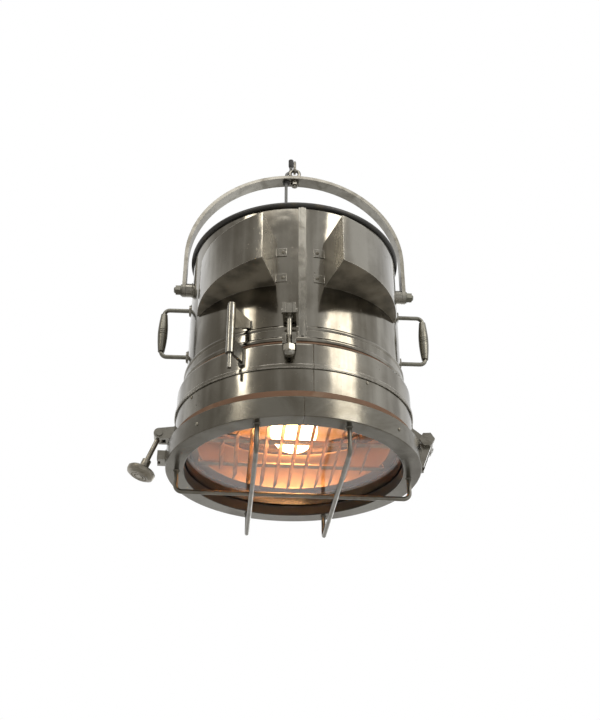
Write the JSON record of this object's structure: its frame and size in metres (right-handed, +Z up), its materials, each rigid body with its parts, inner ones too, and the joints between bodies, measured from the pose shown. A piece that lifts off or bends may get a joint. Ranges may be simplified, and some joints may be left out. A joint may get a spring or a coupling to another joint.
{
  "type": "boat searchlight",
  "caption": "Hanging ship's searchlight: polished steel drum with vent cowls tilting in a strap yoke, clamped collar and a hinged glass door with a rod guard.",
  "frame": {"origin": "inside top of the hanger link, where the hook or next chain link bears", "axes": "+Z up along the lamp's axis, +X along the tilt axis to the hinge side of the door, -Y towards the welded seam, the front in the picture"},
  "size_m": [0.611, 0.5554, 0.8865],
  "materials": {
    "polished_steel": "polished stainless sheet, a little tarnished",
    "fittings_steel": "worn satin steel",
    "satin_steel": "satin turned steel",
    "dark_rim": "dark rolled rim",
    "louvre_steel": "plain sheet",
    "brown_gasket": "aged orange-brown gasket",
    "black_rubber": "matt rubber",
    "grey_cord": "grey sheathed cord",
    "clear_glass": "clear flat glass",
    "reflector_metal": "polished reflector",
    "bulb_glass": "lit warm bulb",
    "white_ceramic": "glazed ceramic socket on its bracket"
  },
  "bodies": {
    "hanger": {"hanger_link": "fittings_steel"},
    "yoke": {"yoke_strap": "fittings_steel", "eye_bolt": "fittings_steel", "eye_nut": "fittings_steel", "cord_grommet": "black_rubber", "power_cord": "grey_cord", "cord_connector": "black_rubber"},
    "lamp": {"drum_shell": "polished_steel", "top_cap": "polished_steel", "rim_ring": "dark_rim", "seam_strip": "polished_steel", "drum_ring": "polished_steel", "joint_gasket": "brown_gasket", "collar_shell": "polished_steel", "collar_bead": "polished_steel", "door_gasket": "brown_gasket", "left_cowl": "polished_steel", "right_cowl": "polished_steel", "cowl_screws": "fittings_steel", "collar_screws": "fittings_steel", "cable_gland": "fittings_steel", "pivot_bosses": "fittings_steel", "pivot_studs": "fittings_steel", "pivot_washers": "fittings_steel", "pivot_nuts": "fittings_steel", "left_handle": "fittings_steel", "right_handle": "fittings_steel", "handle_feet": "fittings_steel", "hinge_drum_half": "fittings_steel", "hinge_collar_half": "fittings_steel", "hinge_pin": "fittings_steel", "clamp_lugs": "fittings_steel", "clamp_catches": "fittings_steel", "clamp_pins": "fittings_steel", "door_hinge_lug": "fittings_steel", "door_hinge_bolt": "fittings_steel", "door_clamp_lug": "fittings_steel", "door_clamp_pin": "fittings_steel", "louvre": "louvre_steel", "reflector": "reflector_metal", "bulb": "bulb_glass", "lamp_socket": "white_ceramic"},
    "door": {"bezel": "satin_steel", "bezel_screws": "fittings_steel", "door_ears": "fittings_steel", "door_fork": "fittings_steel", "glass_seal": "black_rubber", "glass": "clear_glass", "glass_retainer": "satin_steel", "guard": "satin_steel"},
    "door_bolt": {"door_swing_bolt": "fittings_steel"},
    "door_knob": {"door_knob": "fittings_steel"},
    "front_clamp": {"front_clamp_bolt": "fittings_steel", "front_clamp_nut": "fittings_steel"},
    "right_clamp": {"right_clamp_bolt": "fittings_steel", "right_clamp_nut": "fittings_steel"},
    "left_clamp": {"left_clamp_bolt": "fittings_steel", "left_clamp_nut": "fittings_steel"},
    "left_grip": {"left_grip": "fittings_steel"},
    "right_grip": {"right_grip": "fittings_steel"}
  },
  "joints": [
    {"name": "yoke_swing", "type": "hinge", "parent": "hanger", "child": "yoke", "pos_m": [0, 0, -0.028], "axis": [0, 1, 0], "range_deg": [-20, 20]},
    {"name": "lamp_tilt", "type": "hinge", "parent": "yoke", "child": "lamp", "pos_m": [0, 0, -0.3775], "axis": [1, 0, 0], "range_deg": [-90, 90], "deforming": ["power_cord"]},
    {"name": "door_open", "type": "hinge", "parent": "lamp", "child": "door", "pos_m": [0.26044, -0.0366, -0.7535], "axis": [-0.1392, -0.9903, 0], "range_deg": [0, 100]},
    {"name": "door_bolt_swing", "type": "hinge", "parent": "lamp", "child": "door_bolt", "pos_m": [-0.26584, -0.00928, -0.7355], "axis": [-0.0349, 0.9994, 0], "range_deg": [-20.5, 79.5]},
    {"name": "knob_turn", "type": "hinge", "parent": "door_bolt", "child": "door_knob", "pos_m": [-0.26584, -0.00928, -0.7355], "axis": [-0.35, -0.0122, -0.9367], "continuous": true},
    {"name": "front_clamp_swing", "type": "hinge", "parent": "lamp", "child": "front_clamp", "pos_m": [-0.02188, -0.25005, -0.59], "axis": [-0.9962, 0.0872, 0], "range_deg": [0, 100]},
    {"name": "right_clamp_swing", "type": "hinge", "parent": "lamp", "child": "right_clamp", "pos_m": [0.22748, 0.10608, -0.59], "axis": [0.4226, -0.9063, 0], "range_deg": [0, 100]},
    {"name": "left_clamp_swing", "type": "hinge", "parent": "lamp", "child": "left_clamp", "pos_m": [-0.20561, 0.14397, -0.59], "axis": [0.5736, 0.8192, 0], "range_deg": [0, 100]},
    {"name": "left_grip_roll", "type": "hinge", "parent": "lamp", "child": "left_grip", "pos_m": [-0.278, 0, -0.4895], "axis": [0, 0, 1], "continuous": true},
    {"name": "right_grip_roll", "type": "hinge", "parent": "lamp", "child": "right_grip", "pos_m": [0.278, 0, -0.4895], "axis": [0, 0, 1], "continuous": true}
  ]
}
